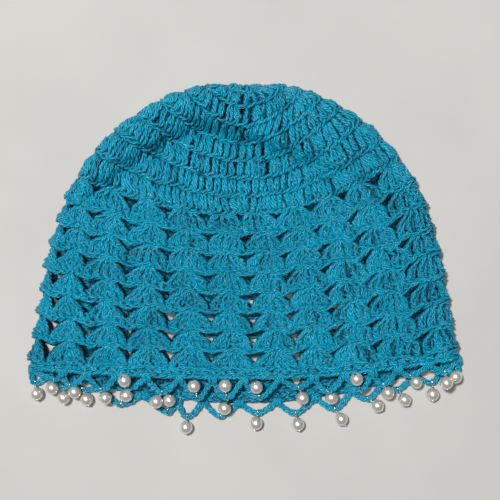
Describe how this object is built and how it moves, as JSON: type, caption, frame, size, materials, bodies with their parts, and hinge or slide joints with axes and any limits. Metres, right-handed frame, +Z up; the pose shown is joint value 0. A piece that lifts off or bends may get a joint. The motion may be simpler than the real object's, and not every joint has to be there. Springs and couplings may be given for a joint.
{
  "type": "crochet beanie with pearl-drop lace edging",
  "caption": "Soft crocheted beanie laid flat: solid round crown, pierced fan-stitch wall, plain band and a hem of chain loops, each with a pearl on a small pin.",
  "frame": {"origin": "middle of the hat's footprint, on the surface that its lower layer lies on", "axes": "+Z up, +X along the hem to the hat's right as seen from above, +Y from the hem to the crown"},
  "size_m": [0.2618, 0.2112, 0.0191],
  "materials": {
    "yarn": "crocheted cotton yarn, matt, teal blue",
    "pearl": "pearl lacquer on a drilled round bead",
    "pin": "bright silver-coloured jewellery wire"
  },
  "bodies": {
    "root": {"crown": "yarn", "shell_wall": "yarn", "brim_band": "yarn", "lace_edging": "yarn", "pearl_front_01": "pearl", "pearl_front_02": "pearl", "pearl_front_03": "pearl", "pearl_front_04": "pearl", "pearl_front_05": "pearl", "pearl_front_06": "pearl", "pearl_front_07": "pearl", "pearl_front_08": "pearl", "pearl_front_09": "pearl", "pearl_front_10": "pearl", "pearl_front_11": "pearl", "pearl_front_12": "pearl", "pearl_front_13": "pearl", "pearl_front_14": "pearl", "pearl_back_01": "pearl", "pearl_back_02": "pearl", "pearl_back_03": "pearl", "pearl_back_04": "pearl", "pearl_back_05": "pearl", "pearl_back_06": "pearl", "pearl_back_07": "pearl", "pearl_back_08": "pearl", "pearl_back_09": "pearl", "pearl_back_10": "pearl", "pearl_back_11": "pearl", "pearl_back_12": "pearl", "pearl_back_13": "pearl", "pearl_back_14": "pearl"}
  },
  "joints": []
}
